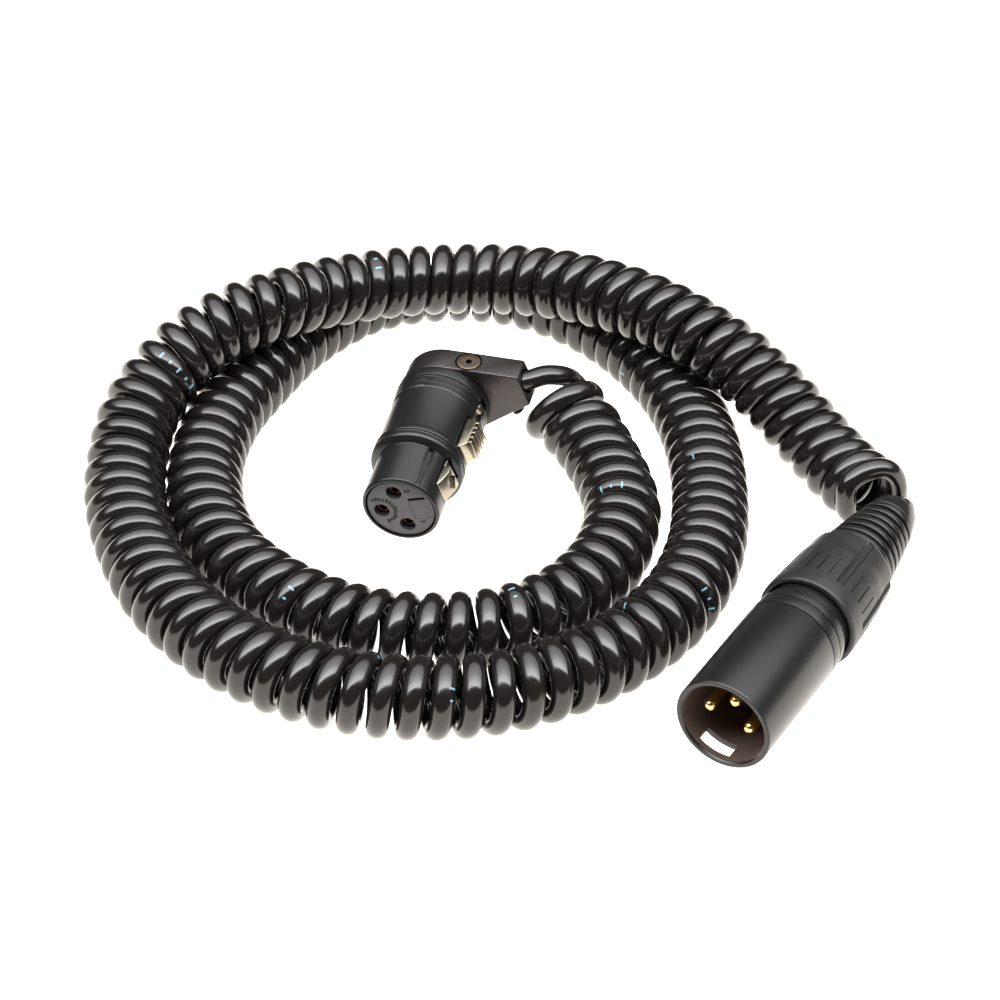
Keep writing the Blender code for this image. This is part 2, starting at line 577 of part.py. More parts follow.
def male_boot(frame):
    """Flexible strain relief with ribs that get smaller towards its end."""
    outer = [(CHUCK_R - 0.2, BOOT_FRONT), (CHUCK_R - 0.2, BUSH_END + GAP),
             (7.9, BUSH_END + GAP), (7.9, 54.3), (7.1, 54.5)]
    for depth, radius in BOOT_RIBS:
        outer += [(radius - 0.5, depth - 0.75), (radius, depth - 0.5), (radius, depth + 0.5),
                  (radius - 0.55, depth + 0.75)]
    outer += [(5.2, 68.7), (4.5, 72.2), (3.6, BOOT_END), (BOOT_BORE, BOOT_END),
              (BOOT_BORE, BOOT_FRONT)]
    boot = turned("male_boot", outer, frame, STEPS_INNER)
    paint(boot, "boot")


# ---------------------------------------------------------------- cord

def shifted(points):
    return [Vector((x + SHIFT[0], y + SHIFT[1], z)) * MM for x, y, z in points]


def world_point(frame, x, y, depth):
    """A point of a connector's frame, in millimetres from the middle of the coil."""
    point = frame.matrix_world @ (Vector((x, y, -depth)) * MM) / MM
    return point.x - SHIFT[0], point.y - SHIFT[1], point.z


def cords(female, male):
    bpy.context.view_layer.update()
    out = Vector((B_EXIT[0] - B_INSIDE[0], B_EXIT[1] - B_INSIDE[1])).normalized()
    start = (B_EXIT[0] - 6.0 * out[0], B_EXIT[1] - 6.0 * out[1])
    lead = [world_point(female, *start, B_MID), world_point(female, *B_EXIT, B_MID)]
    tail = tube("cord_tail_female", shifted(smooth_curve(lead + list(FEMALE_TAIL), 3.0)), CORD_R,
                2)
    paint(tail, "cord")
    curl = tube("cord_curl", shifted(smooth_curve(CURL_ROUTE, CURL_STEP)), CURL_R, 4)
    paint(curl, "cord")
    lead = [world_point(male, 0.0, 0.0, 41.0), world_point(male, 0.0, 0.0, 57.0),
            world_point(male, 0.0, 0.0, BOOT_END)]
    tail = tube("cord_tail_male", shifted(smooth_curve(lead + list(MALE_TAIL), 3.0)), CORD_R, 2)
    paint(tail, "cord")


def shade(group):
    """Smooth the round faces and keep the corners sharp."""
    for obj in group.objects:
        if obj.type == "MESH" and obj.data.polygons:
            obj.data.shade_smooth()
            obj.data.set_sharp_from_angle(angle=math.radians(35.0))


clear_scene()
PARTS = new_collection(NAME)
CUTTERS = new_collection("cutters")
FEMALE = connector_frame("female_frame", FEMALE_PLACE, FEMALE_YAW, FEMALE_PITCH)
MALE = connector_frame("male_frame", MALE_PLACE, MALE_YAW, MALE_PITCH)
LATCH = latch_frame(FEMALE)
female_shell(FEMALE, LATCH)
female_insert(FEMALE, LATCH)
female_contacts(FEMALE)
female_wires(FEMALE)
latch_lever(LATCH)
latch_hardware(LATCH)
elbow_block(FEMALE)
elbow_screw(FEMALE)
clamp_screw(FEMALE)
male_shell(MALE)
male_insert(MALE)
male_pins(MALE)
male_wires(MALE)
male_chuck(MALE)
male_bushing(MALE)
male_boot(MALE)
cords(FEMALE, MALE)
shade(PARTS)
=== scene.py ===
"""Looks of a coiled microphone lead: the wound cord, the two connectors' fine surfaces, the light."""

import math

import bmesh
import bpy
import numpy as np
from mathutils import Euler, Matrix, Vector


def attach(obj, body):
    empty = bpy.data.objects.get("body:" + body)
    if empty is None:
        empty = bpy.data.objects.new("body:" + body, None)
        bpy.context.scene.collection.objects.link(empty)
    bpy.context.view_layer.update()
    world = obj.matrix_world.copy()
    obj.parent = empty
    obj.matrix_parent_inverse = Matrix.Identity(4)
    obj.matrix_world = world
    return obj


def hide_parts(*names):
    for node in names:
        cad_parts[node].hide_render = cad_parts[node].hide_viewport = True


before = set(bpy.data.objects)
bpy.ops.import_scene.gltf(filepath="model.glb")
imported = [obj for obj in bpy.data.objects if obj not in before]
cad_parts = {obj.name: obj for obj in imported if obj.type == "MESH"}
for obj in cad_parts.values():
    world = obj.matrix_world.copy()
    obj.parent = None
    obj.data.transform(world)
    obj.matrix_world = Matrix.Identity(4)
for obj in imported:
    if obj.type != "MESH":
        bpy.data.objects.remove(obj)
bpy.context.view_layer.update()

MM = 0.001
BODY = "cable"

# The frame's origin seen from the middle of the coil, and the connectors' places (millimetres).
SHIFT = (-26.75, 30.0)
FEMALE_PLACE, FEMALE_YAW, FEMALE_PITCH = (-19.5, -14.0, 8.05), 14.4, 6.3
MALE_PLACE, MALE_YAW, MALE_PITCH = (40.1, -81.0, 9.52), 30.4, 0.75


def coil_point(x, y, z):
    """A point given in millimetres from the middle of the coil, in the frame."""
    return Vector((x + SHIFT[0], y + SHIFT[1], z)) * MM


def connector_matrix(place, yaw, pitch):
    """X right, Y up, Z out of the mating face."""
    turn = Euler((math.radians(90.0 + pitch), 0.0, math.radians(-yaw))).to_matrix().to_4x4()
    return Matrix.Translation(coil_point(*place)) @ turn


FEMALE = connector_matrix(FEMALE_PLACE, FEMALE_YAW, FEMALE_PITCH)
MALE = connector_matrix(MALE_PLACE, MALE_YAW, MALE_PITCH)


# ---------------------------------------------------------------- camera

# Degrees above the table, metres from the middle of the coil, and millimetres.
CAMERA_ELEVATION, CAMERA_DISTANCE, CAMERA_LENS, SENSOR_WIDTH = 36.6, 0.72, 129.6, 36.0


def make_camera():
    data = bpy.data.cameras.new("camera")
    data.sensor_width = SENSOR_WIDTH
    data.lens = CAMERA_LENS
    data.clip_start = 0.01
    camera = bpy.data.objects.new("camera", data)
    bpy.context.scene.collection.objects.link(camera)
    tilt = math.radians(CAMERA_ELEVATION)
    camera.location = coil_point(0.0, 0.0, 0.0) + CAMERA_DISTANCE * Vector(
        (0.0, -math.cos(tilt), math.sin(tilt)))
    camera.rotation_euler = (math.radians(90.0) - tilt, 0.0, 0.0)
    bpy.context.scene.camera = camera


# ---------------------------------------------------------------- cord

# Half the jacket's width and thickness: it is a little flattened, so it is wider than it is thick.
CORD_WIDE, CORD_THICK = 2.2, 2.0
# Radius of a turn's centreline, and the height of the curl's middle where it lies on the table.
TURN_R, CURL_Z = 5.65, 7.65
# Distance between turns on the inside of a bend: on the table, and by x where the curl is lifted
# by LIFT or more on to the first round, where it is stretched a little over both shoulders.
PITCH_INSIDE, LIFT = 4.6, 3.0
SHOULDER_X = (-65.0, -53.0, -42.0, -31.0, -20.0, -5.0, 10.0, 32.0, 48.0)
SHOULDER_PITCH = (4.25, 4.9, 5.45, 4.9, 4.3, 4.3, 5.1, 5.1, 4.25)
POINTS_PER_TURN, AXIS_STEP, END_STEP = 32, 0.5, 1.0
# Points of the middle line over which its bend is evened out.
BEND_WINDOW = 61
# The winding starts at the bottom of a turn and ends on the rising side of another one.
FIRST_PHASE, LAST_PHASE = 0.5, 0.75
# The first turns are a little larger than the others.
LOOSE_R, LOOSE_TURNS = 1.2, 2.0
# Radius by turn: the second round is a little wider, and the curl is narrower where it is stretched.
WIDTH_TURNS = (0.0, 70.0, 80.0, 96.0, 102.0, 112.0, 120.0, 136.0, 141.0)
WIDTHS = (5.65, 5.65, 6.0, 6.0, 6.2, 6.1, 5.4, 5.4, 5.65)
CORD_SIDES = 16

# Middle line of the curl, in millimetres from the middle of the coil.
CURL_ROUTE = (
    (11.7, 17.1, 11.6), (13.2, 15.4, 10.8), (16.0, 12.4, 9.2), (17.9, 9.0, 8.3), (19.6, 4.9, 7.9),
    (22.6, -5.0, CURL_Z), (23.9, -15.4, CURL_Z), (20.3, -30.5, CURL_Z), (12.2, -42.4, CURL_Z),
    (2.5, -48.9, CURL_Z), (-6.6, -51.4, CURL_Z), (-16.1, -51.7, CURL_Z), (-25.6, -49.8, CURL_Z),
    (-34.9, -45.4, CURL_Z), (-44.0, -38.3, CURL_Z), (-52.2, -28.0, CURL_Z), (-57.2, -14.1, CURL_Z),
    (-58.4, 2.2, CURL_Z), (-55.6, 18.1, CURL_Z), (-49.4, 32.8, CURL_Z), (-43.0, 45.2, CURL_Z),
    (-36.0, 54.4, CURL_Z), (-28.2, 61.3, CURL_Z), (-19.1, 65.0, CURL_Z), (-9.8, 66.2, CURL_Z),
    (-0.5, 65.2, CURL_Z), (8.5, 61.6, CURL_Z), (17.1, 55.4, CURL_Z), (25.0, 46.8, CURL_Z),
    (31.6, 36.4, CURL_Z), (36.9, 24.2, CURL_Z), (40.2, 10.0, CURL_Z), (41.3, -7.2, CURL_Z),
    (39.5, -27.1, CURL_Z), (33.5, -43.8, CURL_Z), (23.9, -56.0, CURL_Z), (13.3, -64.0, CURL_Z),
    (2.3, -69.0, CURL_Z), (-9.0, -71.2, CURL_Z), (-20.5, -71.0, CURL_Z), (-31.9, -68.3, CURL_Z),
    (-43.2, -62.8, CURL_Z), (-54.0, -54.0, CURL_Z), (-63.7, -41.0, CURL_Z), (-70.8, -23.6, 7.9),
    (-73.7, -9.0, 8.9), (-73.5, 1.0, 11.2), (-72.4, 8.4, 13.4), (-69.4, 15.4, 16.0),
    (-65.0, 21.2, 19.1), (-59.2, 26.6, 21.7), (-52.6, 31.0, 23.1), (-46.0, 35.4, 23.1),
    (-39.4, 40.6, 22.0), (-31.3, 46.2, 20.2), (-20.5, 51.0, 18.8), (-8.5, 52.8, 18.4),
    (3.5, 51.1, 19.2), (14.0, 45.9, 21.1), (22.6, 39.9, 22.6), (30.0, 34.4, 23.2),
    (36.6, 28.5, 23.2), (42.5, 23.3, 22.2), (47.8, 19.6, 20.2), (52.4, 15.9, 17.6),
    (56.7, 12.0, 14.9), (60.6, 7.8, 12.2), (64.3, 3.6, 10.0), (67.2, -0.3, 8.7), (69.8, -4.0, 8.1),
    (72.6, -8.2, 8.0),
)
# Straight ends of the cord, from inside each connector to its first or last turn.
FEMALE_TAIL = ((8.8, 16.6, 18.8), (11.7, 17.5, 18.2), (13.9, 19.2, 16.4), (15.6, 20.3, 13.9),
               (16.4, 22.0, 11.2), (16.3, 22.8, 8.4), (15.2, 22.6, 5.8))
MALE_TAIL = ((68.0, -11.1, 12.0), (70.0, -10.0, 13.5), (72.2, -9.1, 14.1), (74.4, -8.3, 14.0),
             (76.4, -7.9, 13.1), (77.6, -7.3, 11.2), (78.3, -6.8, 8.7),
             (78.5, -6.2, 5.8), (78.8, -7.0, 3.7), (78.9, -9.4, 3.1), (79.2, -12.0, 5.0),
             (79.2, -14.3, 8.0), (78.6, -15.7, 9.8))


def smooth_curve(route, step):
    """Points about one step apart on a smooth curve through the route."""
    pts = np.array(route, float)
    knots = np.sqrt(np.linalg.norm(np.diff(pts, axis=0), axis=1))
    slopes = np.diff(pts, axis=0) / knots[:, None]
    tangents = np.empty_like(pts)
    tangents[0], tangents[-1] = slopes[0], slopes[-1]
    before, after = knots[:-1, None], knots[1:, None]
    tangents[1:-1] = (slopes[:-1] * after + slopes[1:] * before) / (before + after)
    fine = [pts[:1]]
    for i, h in enumerate(knots):
        x = np.linspace(0.0, 1.0, 33)[1:, None]
        fine.append((2 * x**3 - 3 * x**2 + 1) * pts[i] + (x**3 - 2 * x**2 + x) * h * tangents[i]
                    + (3 * x**2 - 2 * x**3) * pts[i + 1] + (x**3 - x**2) * h * tangents[i + 1])
    fine = np.vstack(fine)
    run = np.concatenate(([0.0], np.cumsum(np.linalg.norm(np.diff(fine, axis=0), axis=1))))
    count = max(2, round(run[-1] / step) + 1)
    wanted = np.linspace(0.0, run[-1], count)
    return np.stack([np.interp(wanted, run, fine[:, k]) for k in range(3)], axis=1)


def unit(rows):
    """Each row scaled to length 1."""
    return rows / np.linalg.norm(rows, axis=1)[:, None]


def wound_path():
    """Centreline of the wound cord and the outward direction at each of its points."""
    axis = smooth_curve(CURL_ROUTE, AXIS_STEP)
    run = np.concatenate(([0.0], np.cumsum(np.linalg.norm(np.diff(axis, axis=0), axis=1))))
    along = unit(np.gradient(axis, run, axis=0))
    heading = np.unwrap(np.arctan2(along[:, 1], along[:, 0]))
    bend = np.gradient(heading, run)
    window = np.ones(BEND_WINDOW) / BEND_WINDOW
    bend = np.abs(np.convolve(np.pad(bend, BEND_WINDOW // 2, mode="edge"), window, mode="valid"))
    lifted = np.clip((axis[:, 2] - CURL_Z) / LIFT, 0.0, 1.0)
    shoulder = np.interp(axis[:, 0], SHOULDER_X, SHOULDER_PITCH)
    density = (1.0 - TURN_R * bend) / (PITCH_INSIDE + (shoulder - PITCH_INSIDE) * lifted)
    turns = np.concatenate(([0.0], np.cumsum(0.5 * (density[1:] + density[:-1]) * np.diff(run))))
    last = math.floor(turns[-1]) + LAST_PHASE
    turns = FIRST_PHASE + turns * (last - FIRST_PHASE) / turns[-1]
    wanted = np.linspace(FIRST_PHASE, last, round((last - FIRST_PHASE) * POINTS_PER_TURN) + 1)
    centre = np.stack([np.interp(wanted, turns, axis[:, k]) for k in range(3)], axis=1)
    ahead = unit(np.stack([np.interp(wanted, turns, along[:, k]) for k in range(3)], axis=1))
    up = unit(np.array([0.0, 0.0, 1.0]) - ahead[:, 2:] * ahead)
    left = -np.cross(ahead, up)
    radius = np.interp(wanted, WIDTH_TURNS, WIDTHS)
    centre[:, 2] += np.maximum(radius - TURN_R, 0.0)
    radius += LOOSE_R * np.exp(-(wanted / LOOSE_TURNS) ** 2)
    angle = 2.0 * math.pi * wanted
    outward = up * np.cos(angle)[:, None] + left * np.sin(angle)[:, None]
    return centre + radius[:, None] * outward, outward


# The elbow block's cord bore: its depth, its mouth and its direction.
B_MID, B_EXIT, B_OUT = 35.7, (16.7, 6.3), (0.9365, 0.3507)
# Depths on the straight connector's axis that the cord passes: inside the nut, in the boot, at its end.
MALE_INSIDE, MID_BOOT, BOOT_END = 41.0, 57.0, 73.0
# How far the cord reaches into the elbow block from the bore's mouth.
FEMALE_INSIDE = 6.0


def in_coil(matrix, x, y, depth):
    """A connector's point in millimetres from the middle of the coil."""
    point = matrix @ (Vector((x, y, -depth)) * MM) / MM
    return point.x - SHIFT[0], point.y - SHIFT[1], point.z


def cord_path():
    """Whole centreline from the elbow to the boot, with a reference direction for its surface."""
    wound, outward = wound_path()
    start = in_coil(FEMALE, B_EXIT[0] - FEMALE_INSIDE * B_OUT[0],
                    B_EXIT[1] - FEMALE_INSIDE * B_OUT[1], B_MID)
    exit_point = in_coil(FEMALE, *B_EXIT, B_MID)
    lead_in = smooth_curve([start, exit_point, *FEMALE_TAIL, *wound[:9:4]], END_STEP)
    cut = np.argmin(np.linalg.norm(lead_in - wound[0], axis=1))
    lead_in = lead_in[:cut]
    in_boot = [in_coil(MALE, 0.0, 0.0, depth) for depth in (MALE_INSIDE, MID_BOOT, BOOT_END)]
    back = [*in_boot, *MALE_TAIL[::-1], *wound[:-10:-4]]
    lead_out = smooth_curve(back, END_STEP)
    cut = np.argmin(np.linalg.norm(lead_out - wound[-1], axis=1))
    lead_out = lead_out[:cut][::-1]
    path = np.vstack([lead_in, wound, lead_out])
    side = np.vstack([np.repeat(outward[:1], len(lead_in), axis=0), outward,
                      np.repeat(outward[-1:], len(lead_out), axis=0)])
    along = unit(np.gradient(path, axis=0))
    # The reference direction is carried along the straight ends without twist.
    for i in range(len(lead_in) - 1, -1, -1):
        side[i] = side[i + 1] - along[i] * np.dot(side[i + 1], along[i])
        side[i] /= np.linalg.norm(side[i])
    for i in range(len(lead_in) + len(wound), len(path)):
        side[i] = side[i - 1] - along[i] * np.dot(side[i - 1], along[i])
        side[i] /= np.linalg.norm(side[i])
    side = unit(side - along * np.sum(side * along, axis=1)[:, None])
    return path, along, side


def ring_points(path, along, side, angles, scale=1.0):
    """Points around each path point, one row for each, at the given angles from its side."""
    other = np.cross(along, side)
    thick, wide = scale * CORD_THICK * np.cos(angles), scale * CORD_WIDE * np.sin(angles)
    return (path[:, None] + side[:, None] * thick[None, :, None]
            + other[:, None] * wide[None, :, None])


def to_frame(points):
    """Points in millimetres from the middle of the coil, in the frame."""
    return (points + np.array([SHIFT[0], SHIFT[1], 0.0])) * MM


def mesh_object(name, verts, faces):
    mesh = bpy.data.meshes.new(name)
    mesh.from_pydata([tuple(v) for v in verts], [], faces)
    mesh.update()
    obj = bpy.data.objects.new(name, mesh)
    bpy.context.scene.collection.objects.link(obj)
    return obj


# Printed marks: distance along the cord from the elbow, angle around it, how many strokes.
PRINTS = ((275, 40, 3), (564, 15, 2), (718, 25, 2), (854, 335, 2), (2203, 10, 1), (2495, 60, 1),
          (2796, 55, 3), (2900, 50, 1), (3211, 320, 2), (3316, 305, 2), (4203, 355, 5), (4559, 345, 2))
# Distance between strokes and length of one along the cord; half the angle that each kind covers.
STROKE_GAP, STROKE = 1.75, 0.3
LONG_HALF, SHORT_HALF = 17.0, 9.0
STROKE_COLUMNS = 7
# Lower and upper surface of a stroke, as parts of the jacket's own size.
INK_LEVELS = (0.99, 1.006)


def make_print(path, along, side):
    """Groups of short strokes printed on the jacket, each a thin closed patch."""
    run = np.concatenate(([0.0], np.cumsum(np.linalg.norm(np.diff(path, axis=0), axis=1))))
    columns = STROKE_COLUMNS
    edge = [*range(columns), *range(2 * columns - 1, columns - 1, -1)]
    verts, faces = [], []
    for middle, angle, count in PRINTS:
        for index in range(count):
            start = middle + (index - 0.5 * (count - 1)) * STROKE_GAP
            half = SHORT_HALF if index % 2 else LONG_HALF
            wanted = np.array([start, start + STROKE])
            at, ahead, out = (np.stack([np.interp(wanted, run, rows[:, k]) for k in range(3)], axis=1)
                              for rows in (path, along, side))
            angles = np.radians(np.linspace(angle - half, angle + half, columns))
            base = len(verts)
            for scale in INK_LEVELS:
                patch = ring_points(at, unit(ahead), unit(out), angles, scale)
                verts += list(to_frame(patch).reshape(-1, 3))
            low, high = base, base + 2 * columns
            for first, second in zip(edge, edge[1:] + edge[:1]):
                faces.append((low + first, low + second, high + second, high + first))
            for j in range(columns - 1):
                faces.append((low + j, low + j + 1, low + columns + j + 1, low + columns + j))
                faces.append((high + j, high + columns + j, high + columns + j + 1, high + j + 1))
    marks = closed_object("cord_print", verts, faces)
    marks.data.materials.append(print_ink())
    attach(marks, BODY)
    return marks


def make_cord(boot):
    """The whole cord as one tube, with its printed marks. The boot argument is not used."""
    path, along, side = cord_path()
    angles = np.linspace(0.0, 2.0 * math.pi, CORD_SIDES, endpoint=False)
    rings = to_frame(ring_points(path, along, side, angles))
    count = len(path)
    verts = rings.reshape(-1, 3)
    faces = []
    for i in range(count - 1):
        a, b = i * CORD_SIDES, (i + 1) * CORD_SIDES
        for j in range(CORD_SIDES):
            k = (j + 1) % CORD_SIDES
            faces.append((a + j, a + k, b + k, b + j))
    faces.append(tuple(reversed(range(CORD_SIDES))))
    faces.append(tuple((count - 1) * CORD_SIDES + j for j in range(CORD_SIDES)))
    cord = mesh_object("curly_cord", verts, faces)
    cord.data.shade_smooth()
    cord.data.materials.append(cord_material())
    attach(cord, BODY)
    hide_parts("cord_tail_female", "cord_curl", "cord_tail_male")
    make_print(path, along, side)


# ---------------------------------------------------------------- shape makers

# In a connector's own frame X is right, Y is up and a depth d from the mating face is z = -d.
STEPS_ROUND, STEPS_SMALL = 144, 48
SHARP_ANGLE = 32.0


def local_point(x, y, depth):
    return Vector((x, y, -depth)) * MM


def closed_object(name, verts, faces):
    """Mesh with its faces turned outwards."""
    obj = mesh_object(name, verts, faces)
    shape = bmesh.new()
    shape.from_mesh(obj.data)
    bmesh.ops.recalc_face_normals(shape, faces=shape.faces)
    shape.to_mesh(obj.data)
    shape.free()
    return obj


def softened(profile, size):
    """Profile loop with each corner cut back by up to the given size and rounded."""
    points = np.array(profile, float)
    rounded = []
    for before, here, after in zip(np.roll(points, 1, axis=0), points, np.roll(points, -1, axis=0)):
        back, fore = before - here, after - here
        cut = min(size, 0.45 * np.linalg.norm(back), 0.45 * np.linalg.norm(fore))
        a = here + cut * back / np.linalg.norm(back)
        b = here + cut * fore / np.linalg.norm(fore)
        for t in (0.0, 0.33, 0.67, 1.0):
            rounded.append((1 - t)**2 * a + 2 * t * (1 - t) * here + t**2 * b)
    return rounded


def swept(profile, steps, bands):
    """Vertices of a profile turned about the axis, and the faces of its first bands."""
    angles = np.linspace(0.0, 2.0 * math.pi, steps, endpoint=False)
    verts = [local_point(r * math.cos(a), r * math.sin(a), depth) for r, depth in profile for a in angles]
    faces = []
    for i in range(bands):
        a, b = i * steps, (i + 1) % len(profile) * steps
        for j in range(steps):
            k = (j + 1) % steps
            faces.append((a + j, b + j, b + k, a + k))
    return verts, faces


def turned(name, profile, steps=STEPS_ROUND):
    """Ring turned about the axis from a closed loop of (radius, depth) points."""
    return closed_object(name, *swept(profile, steps, len(profile)))


def capped(name, profile, steps=STEPS_ROUND):
    """Solid turned about the axis from an open profile, closed by a flat cap at each end."""
    verts, faces = swept(profile, steps, len(profile) - 1)
    faces.append(tuple(range(steps)))
    faces.append(tuple(len(verts) - steps + j for j in range(steps)))
    return closed_object(name, verts, faces)


def rod(name, radius, start, end, steps=STEPS_SMALL):
    """Round rod between two points given as (x, y, depth)."""
    a, b = local_point(*start), local_point(*end)
    turn = (b - a).to_track_quat("Z", "Y").to_matrix().to_4x4()
    obj = mesh_object(name, [], [])
    shape = bmesh.new()
    bmesh.ops.create_cone(shape, cap_ends=True, segments=steps, radius1=radius * MM,
                          radius2=radius * MM, depth=(b - a).length,
                          matrix=Matrix.Translation((a + b) / 2) @ turn)
    shape.to_mesh(obj.data)
    shape.free()
    return obj


def prism(name, outline, low, high, place):
    """Outline thickened between two levels; place turns (a, b, level) into (x, y, depth)."""
    count = len(outline)
    verts = [local_point(*place(a, b, level)) for level in (low, high) for a, b in outline]
    faces = [tuple(range(count)), tuple(range(2 * count - 1, count - 1, -1))]
    for i in range(count):
        k = (i + 1) % count
        faces.append((i, k, count + k, count + i))
    return closed_object(name, verts, faces)


def face_on(x, y, depth):
    """Outline drawn in the front view."""
    return x, y, depth


def box(name, low, high):
    """Box between two corners given as (x, y, depth)."""
    outline = [(low[0], low[1]), (high[0], low[1]), (high[0], high[1]), (low[0], high[1])]
    return prism(name, outline, low[2], high[2], face_on)


def sector(name, radii, depths, angles, steps=12):
    """Piece of a ring between two radii, two depths and two angles in degrees."""
    corners = [(radii[i], depths[j]) for i, j in ((0, 0), (1, 0), (1, 1), (0, 1))]
    verts = [local_point(r * math.cos(a), r * math.sin(a), depth)
             for a in np.radians(np.linspace(*angles, steps + 1)) for r, depth in corners]
    faces = [(3, 2, 1, 0), tuple(4 * steps + j for j in range(4))]
    for i in range(steps):
        for j in range(4):
            k = (j + 1) % 4
            faces.append((4 * i + j, 4 * i + k, 4 * i + 4 + k, 4 * i + 4 + j))
    return closed_object(name, verts, faces)


def spun(obj, degrees):
    """Turn a tool about the connector's axis."""
    obj.data.transform(Matrix.Rotation(math.radians(degrees), 4, "Z"))
    return obj


def apply_modifiers(obj):
    bpy.context.view_layer.update()
    evaluated = obj.evaluated_get(bpy.context.evaluated_depsgraph_get())
    mesh = bpy.data.meshes.new_from_object(evaluated)
    obj.modifiers.clear()
    obj.data = mesh


def combine(obj, tools, operation="DIFFERENCE"):
    """Cut tools out of an object, or join them to it."""
    for tool in tools:
        mod = obj.modifiers.new("combine", "BOOLEAN")
        mod.operation = operation
        mod.solver = "EXACT"
        mod.object = tool
    apply_modifiers(obj)
    for tool in tools:
        bpy.data.objects.remove(tool, do_unlink=True)
    return obj


def round_edges(obj, width, segments=3, angle=30.0):
    mod = obj.modifiers.new("round", "BEVEL")
    mod.width = width * MM
    mod.segments = segments
    mod.limit_method = "ANGLE"
    mod.angle_limit = math.radians(angle)
    apply_modifiers(obj)
    return obj


def merge(obj, others):
    """Put the meshes of other objects into an object's own."""
    shape = bmesh.new()
    for each in (obj, *others):
        shape.from_mesh(each.data)
    shape.to_mesh(obj.data)
    shape.free()
    for each in others:
        bpy.data.objects.remove(each, do_unlink=True)
    return obj


def on_circle(radius, degrees):
    return radius * math.cos(math.radians(degrees)), radius * math.sin(math.radians(degrees))


def mount(obj, matrix, mat, slot, *nodes, body=BODY):
    """Place a finished piece, give it its material and let it stand for CAD nodes."""
    obj.data.shade_smooth()
    obj.data.set_sharp_from_angle(angle=math.radians(SHARP_ANGLE))
    obj.matrix_world = matrix
    obj.data.materials.clear()
    obj.data.materials.append(mat)
    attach(obj, body)
    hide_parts(*nodes)
    return obj


# ---------------------------------------------------------------- female connector

# Angles round the axis of the latch and of the keyway.
LATCH_ANGLE, KEYWAY_ANGLE = 18.0, 62.0
LATCH = FEMALE @ Matrix.Rotation(math.radians(LATCH_ANGLE), 4, "Z")
F_CIRCLE, F_HOLE_R = 4.1, 1.6
F_HOLES = {"1": -72.0, "2": 108.0, "3": 198.0}
# In the latch's own frame rho points outwards and lam sideways.
HINGE_RHO, HINGE_DEPTH = 8.1, 29.5
B_FRONT, B_BACK, B_TOP, B_R = 32.8, 38.6, 9.2, 9.2
SCREW_X = 4.8
CLAMP_AT, CLAMP_NORMAL = (14.5, -1.2), (0.622, -0.783)


def female_shell():
    """Nose with a keyway, double flange, latch slots and grip rings."""
    outer = [(7.5, 0.0), (7.85, 0.35), (7.85, 11.0), (8.5, 11.25), (9.2, 11.7), (9.45, 12.1),
             (9.45, 12.7), (9.1, 13.05), (9.1, 13.5), (9.45, 13.7), (9.45, 14.6), (9.2, 14.9),
             (9.2, 26.7), (9.42, 27.0), (9.42, 28.0), (9.15, 28.1), (9.15, 28.4), (9.48, 28.5),
             (9.48, 29.6), (9.2, 29.7), (9.2, 30.0), (9.6, 30.15), (9.6, 32.5)]
    inner = [(7.3, 32.5), (7.3, 25.3), (8.2, 24.4), (8.2, 13.9), (7.15, 12.9), (7.15, 0.0)]
    shell = turned("female_shell_fine", softened(outer + inner, 0.16))
    slots = [box("nose_slot", (6.0, -2.6, 3.6), (10.0, 2.6, 11.2)),
             box("tunnel", (6.0, -2.6, 11.0), (8.45, 2.6, 15.2)),
             box("pad_slot", (6.0, -2.9, 14.8), (12.0, 2.9, 24.2)),
             box("tongue_slot", (6.0, -1.3, 24.0), (12.0, 1.3, 31.4))]
    slots = [spun(slot, LATCH_ANGLE) for slot in slots]
    keyway = spun(box("keyway", (7.4, -0.5, 0.6), (9.0, 0.5, 11.0)), KEYWAY_ANGLE)
    panel = sector("panel", (9.3, 10.4), (26.8, 29.7), (28.0, 103.0), 24)
    combine(shell, [*slots, keyway, panel])
    lips = []
    for middle in (-0.72, 0.72):
        lip = box("lip", (7.6, middle - 0.18, 0.5), (8.05, middle + 0.18, 11.3))
        lips.append(spun(round_edges(lip, 0.06, 2), KEYWAY_ANGLE))
    merge(shell, lips)
    return mount(shell, FEMALE, shell_black(), "black_metal", "female_shell")


def face_number(number, x, y, size):
    """Small raised figure standing on the insert's face."""
    data = bpy.data.curves.new("figure_" + number, "FONT")
    data.body = number
    data.size = size * MM
    data.extrude = 0.08 * MM
    data.align_x = "CENTER"
    data.align_y = "CENTER"
    figure = bpy.data.objects.new("figure_" + number, data)
    bpy.context.scene.collection.objects.link(figure)
    bpy.context.view_layer.update()
    mesh = bpy.data.meshes.new_from_object(
        figure.evaluated_get(bpy.context.evaluated_depsgraph_get()))
    bpy.data.objects.remove(figure, do_unlink=True)
    made = bpy.data.objects.new("figure_" + number, mesh)
    bpy.context.scene.collection.objects.link(made)
    turn = Matrix.Rotation(math.radians(LATCH_ANGLE - 90.0), 4, "Z")
    mesh.transform(Matrix.Translation(local_point(x, y, 0.27)) @ turn)
    return made


